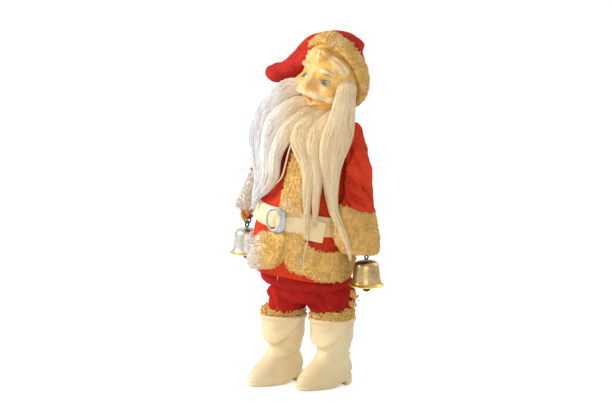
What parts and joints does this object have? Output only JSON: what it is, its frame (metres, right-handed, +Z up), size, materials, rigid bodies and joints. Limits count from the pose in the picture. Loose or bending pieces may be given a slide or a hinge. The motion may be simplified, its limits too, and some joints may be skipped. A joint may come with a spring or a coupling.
{
  "type": "santa claus doll",
  "caption": "Standing display doll in a red felt suit with plush trim, moulded head and boots, a combed beard, and hand bells that swing and ring.",
  "frame": {"origin": "middle of the doll's footprint box on the floor it stands on", "axes": "+Z up, the doll faces -Y, its own left hand is on +X"},
  "size_m": [0.1563, 0.0928, 0.3063],
  "materials": {
    "coat_felt": "brushed wool felt, matt",
    "trouser_felt": "brushed felt, matt",
    "plush": "short tan plush pile",
    "fleece": "looped gold fleece",
    "beard_fibre": "combed off-white fibre",
    "painted_plastic": "moulded, painted flesh and cream",
    "boot_plastic": "moulded cream plastic, satin",
    "vinyl": "cream vinyl strip",
    "silver_plate": "worn silver plate",
    "bell_brass": "plated brass, gold rim",
    "steel_wire": "dark wire",
    "wood": "plain wood, hidden",
    "stuffing": "packed stuffing, hidden"
  },
  "bodies": {
    "torso": {"torso_core": "stuffing", "neck_post": "wood", "coat": "coat_felt", "coat_hem_trim": "plush", "front_trim_upper": "plush", "front_trim_lower": "plush", "belt": "vinyl", "belt_end": "vinyl", "belt_buckle": "silver_plate", "hip_block": "wood", "trousers": "trouser_felt", "left_leg_post": "wood", "right_leg_post": "wood", "left_trouser_fleece": "fleece", "right_trouser_fleece": "fleece"},
    "head": {"head": "painted_plastic", "hat": "coat_felt", "hat_trim": "plush", "beard": "beard_fibre"},
    "left_arm": {"left_arm_core": "stuffing", "left_sleeve": "coat_felt", "left_cuff": "plush", "left_hand": "painted_plastic", "left_bell_ring": "steel_wire"},
    "left_bell": {"left_bell": "bell_brass", "left_bell_eye": "steel_wire"},
    "left_clapper": {"left_clapper_wire": "steel_wire", "left_clapper_ball": "steel_wire"},
    "left_boot": {"left_boot": "boot_plastic", "left_boot_plug": "wood"},
    "right_arm": {"right_arm_core": "stuffing", "right_sleeve": "coat_felt", "right_cuff": "plush", "right_hand": "painted_plastic", "right_bell_ring": "steel_wire"},
    "right_bell": {"right_bell": "bell_brass", "right_bell_eye": "steel_wire"},
    "right_clapper": {"right_clapper_wire": "steel_wire", "right_clapper_ball": "steel_wire"},
    "right_boot": {"right_boot": "boot_plastic", "right_boot_plug": "wood"}
  },
  "joints": [
    {"name": "head_turn", "type": "hinge", "parent": "torso", "child": "head", "pos_m": [0.022, 0.01489, 0.26854], "axis": [0.1045, 0, 0.9945], "range_deg": [-50, 50], "deforming": ["beard"]},
    {"name": "left_shoulder", "type": "hinge", "parent": "torso", "child": "left_arm", "pos_m": [0.04598, 0.00989, 0.20971], "axis": [-0.9945, 0, 0.1045], "range_deg": [-20, 60]},
    {"name": "left_bell_swing", "type": "hinge", "parent": "left_arm", "child": "left_bell", "pos_m": [0.06314, 0.00226, 0.12016], "axis": [-1, 0, 0], "range_deg": [-30, 30]},
    {"name": "left_clapper_swing", "type": "hinge", "parent": "left_bell", "child": "left_clapper", "pos_m": [0.06314, 0.00226, 0.11431], "axis": [-1, 0, 0], "range_deg": [-20, 20]},
    {"name": "left_boot_turn", "type": "hinge", "parent": "torso", "child": "left_boot", "pos_m": [0.02016, 0.01699, 0], "axis": [0, 0, 1], "range_deg": [-25, 25]},
    {"name": "right_shoulder", "type": "hinge", "parent": "torso", "child": "right_arm", "pos_m": [-0.02165, 0.01289, 0.21682], "axis": [-0.9945, 0, 0.1045], "range_deg": [-20, 60]},
    {"name": "right_bell_swing", "type": "hinge", "parent": "right_arm", "child": "right_bell", "pos_m": [-0.06315, 0.01289, 0.1331], "axis": [-1, 0, 0], "range_deg": [-30, 30]},
    {"name": "right_clapper_swing", "type": "hinge", "parent": "right_bell", "child": "right_clapper", "pos_m": [-0.06315, 0.01289, 0.12725], "axis": [-1, 0, 0], "range_deg": [-20, 20]},
    {"name": "right_boot_turn", "type": "hinge", "parent": "torso", "child": "right_boot", "pos_m": [-0.02384, 0.00879, 0], "axis": [0, 0, 1], "range_deg": [-25, 25]}
  ]
}
